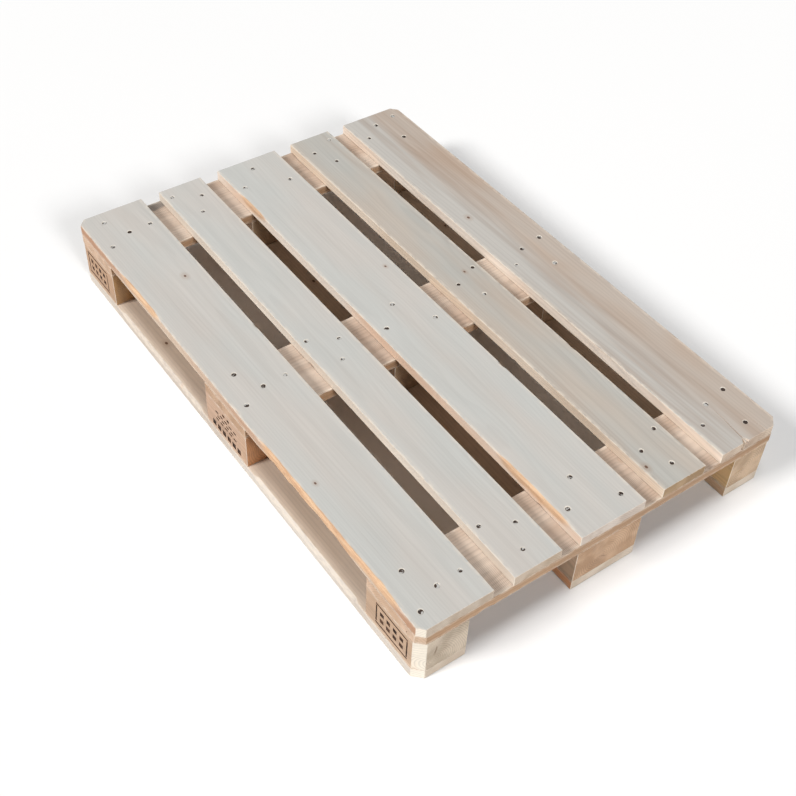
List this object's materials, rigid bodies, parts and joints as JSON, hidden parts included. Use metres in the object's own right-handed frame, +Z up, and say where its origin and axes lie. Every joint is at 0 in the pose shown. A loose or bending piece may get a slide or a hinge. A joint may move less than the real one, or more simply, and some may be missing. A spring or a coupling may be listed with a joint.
{
  "type": "wooden pallet",
  "caption": "Flat wooden pallet with spaced deck boards on stringers, blocks and base boards, open to forks from all four sides.",
  "frame": {"origin": "on the ground at the centre of the 1200 x 800 mm footprint", "axes": "+X along the length to the front end, +Y across the width, +Z up"},
  "size_m": [1.2, 0.8, 0.144],
  "materials": {
    "deck_wood": "sawn softwood, pale grey and dry, matt",
    "deck_wood_brown": "sawn softwood, grey-brown with visible grain, matt",
    "stringer_wood": "sawn softwood, tan, with saw marks, matt",
    "block_wood": "sawn softwood block, warm tan, matt",
    "base_wood": "sawn softwood, beige, matt",
    "nail_steel": "plain steel nail, dulled"
  },
  "bodies": {
    "root": {"deck_board_left_outer": "deck_wood", "deck_board_left_inner": "deck_wood", "deck_board_centre": "deck_wood", "deck_board_right_inner": "deck_wood", "deck_board_right_outer": "deck_wood_brown", "stringer_rear": "stringer_wood", "stringer_middle": "stringer_wood", "stringer_front": "stringer_wood", "block_rear_left": "block_wood", "block_rear_centre": "block_wood", "block_rear_right": "block_wood", "block_middle_left": "block_wood", "block_middle_centre": "block_wood", "block_middle_right": "block_wood", "block_front_left": "block_wood", "block_front_centre": "block_wood", "block_front_right": "block_wood", "base_board_left": "base_wood", "base_board_centre": "base_wood", "base_board_right": "base_wood", "block_nails": "nail_steel", "deck_nails": "nail_steel", "base_nails": "nail_steel"}
  },
  "joints": []
}
